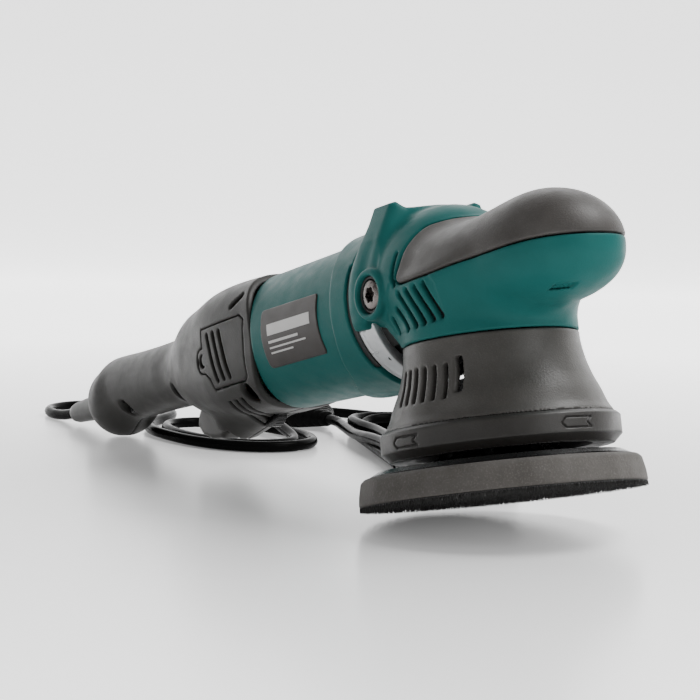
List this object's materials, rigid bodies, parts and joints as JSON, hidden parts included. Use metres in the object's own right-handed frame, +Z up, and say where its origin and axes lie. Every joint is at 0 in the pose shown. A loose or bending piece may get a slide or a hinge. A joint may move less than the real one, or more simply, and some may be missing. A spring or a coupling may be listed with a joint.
{
  "type": "orbital sander",
  "caption": "Corded dual-action orbital polisher and sander with a rounded palm head, skirted eccentric pad, motor barrel and rear trigger handle, lying at rest.",
  "frame": {"origin": "on the bench, under the middle of the box of the tool without its cord, as the tool rests on the rear edge of its pad and on its tail foot", "axes": "+X towards the nose of the tool, +Z up, so +Y is the left-hand side seen from behind the handle; the tool lies nose up by 12.9 degrees"},
  "size_m": [0.5625, 0.2495, 0.1504],
  "materials": {
    "teal_plastic": "fine moulded grain",
    "grip_rubber": "soft matt overmould",
    "skirt_rubber": "matt",
    "ring_plastic": "fine moulded grain",
    "housing_plastic": "fine moulded grain",
    "trigger_plastic": "smooth",
    "black_plastic": "satin",
    "circuit": "satin",
    "label_film": "satin printed film",
    "cast_aluminium": "cast, fine blasted",
    "steel": "ground",
    "gear_steel": "machined",
    "counterweight_iron": "machined",
    "laminations": "varnished stack",
    "bolt_steel": "blackened",
    "screw_steel": "blackened",
    "copper": "varnished",
    "brush_brass": "plain",
    "carbon": "sintered",
    "washer_rubber": "matt",
    "foam": "closed-cell foam",
    "hooks": "hook tape",
    "cord_rubber": "glossy",
    "plug_rubber": "satin"
  },
  "bodies": {
    "housing": {"motor_housing": "teal_plastic", "front_cover": "teal_plastic", "grip_overmould": "grip_rubber", "skirt": "skirt_rubber", "shroud_ring": "ring_plastic", "gearcase": "cast_aluminium", "bearing_plate": "cast_aluminium", "handle_bolts": "bolt_steel", "bolt_washers": "washer_rubber", "head_screws": "screw_steel", "rear_housing_right": "housing_plastic", "rear_housing_left": "housing_plastic", "brush_cover_right": "housing_plastic", "brush_cover_left": "housing_plastic", "cover_screws": "screw_steel", "housing_screws": "screw_steel", "label_right": "label_film", "label_left": "label_film", "stator": "laminations", "field_coils": "copper", "brush_holders": "brush_brass", "carbon_brushes": "carbon", "switch_body": "black_plastic", "speed_module": "circuit", "trigger_pin": "steel", "front_bearing": "steel", "rear_bearing": "steel", "upper_bearing": "steel", "lower_bearing": "steel", "strain_relief": "plug_rubber", "cord_lead": "cord_rubber", "cord_hank": "cord_rubber", "cord_tie": "plug_rubber", "cord_end": "cord_rubber", "plug": "plug_rubber", "plug_pins": "steel"},
    "armature": {"armature_shaft": "steel", "rotor_core": "laminations", "rotor_windings": "copper", "commutator": "copper", "fan": "black_plastic", "pinion": "gear_steel"},
    "spindle_drive": {"spindle": "steel", "bevel_gear": "gear_steel", "counterweight": "counterweight_iron", "pad_bearing": "steel"},
    "pad": {"pad_spindle": "steel", "backing_plate": "black_plastic", "pad_foam": "foam", "hook_face": "hooks", "pad_bolt": "steel"},
    "trigger": {"trigger": "trigger_plastic"},
    "lock_button": {"lock_button": "black_plastic"},
    "speed_dial": {"speed_dial": "black_plastic"}
  },
  "joints": [
    {"name": "armature_spin", "type": "hinge", "parent": "housing", "child": "armature", "pos_m": [0.13883, 0.00557, 0.10446], "axis": [0.9748, 0, 0.2233], "continuous": true},
    {"name": "spindle_spin", "type": "hinge", "parent": "housing", "child": "spindle_drive", "pos_m": [0.15981, 0.00557, 0.01283], "axis": [-0.2233, 0, 0.9748], "continuous": true},
    {"name": "pad_spin", "type": "hinge", "parent": "spindle_drive", "child": "pad", "pos_m": [0.1647, 0, 0.01395], "axis": [-0.2233, 0, 0.9748], "continuous": true},
    {"name": "trigger_pull", "type": "hinge", "parent": "housing", "child": "trigger", "pos_m": [-0.07589, 0.00557, 0.02964], "axis": [0, 1, 0], "range_deg": [0, 6], "stiffness_Nm_per_rad": 0.5, "springref_deg": -11.46},
    {"name": "lock_button_press", "type": "slide", "parent": "housing", "child": "lock_button", "axis": [0, -1, 0], "range_m": [0, 0.002], "stiffness_N_per_m": 200, "springref_m": -0.002},
    {"name": "speed_dial_turn", "type": "hinge", "parent": "housing", "child": "speed_dial", "pos_m": [-0.03968, 0.00557, 0.0328], "axis": [0, 1, 0], "range_deg": [0, 300]}
  ],
  "couplings": [
    {"joint": "spindle_spin", "follows": "armature_spin", "ratio": -0.25}
  ]
}
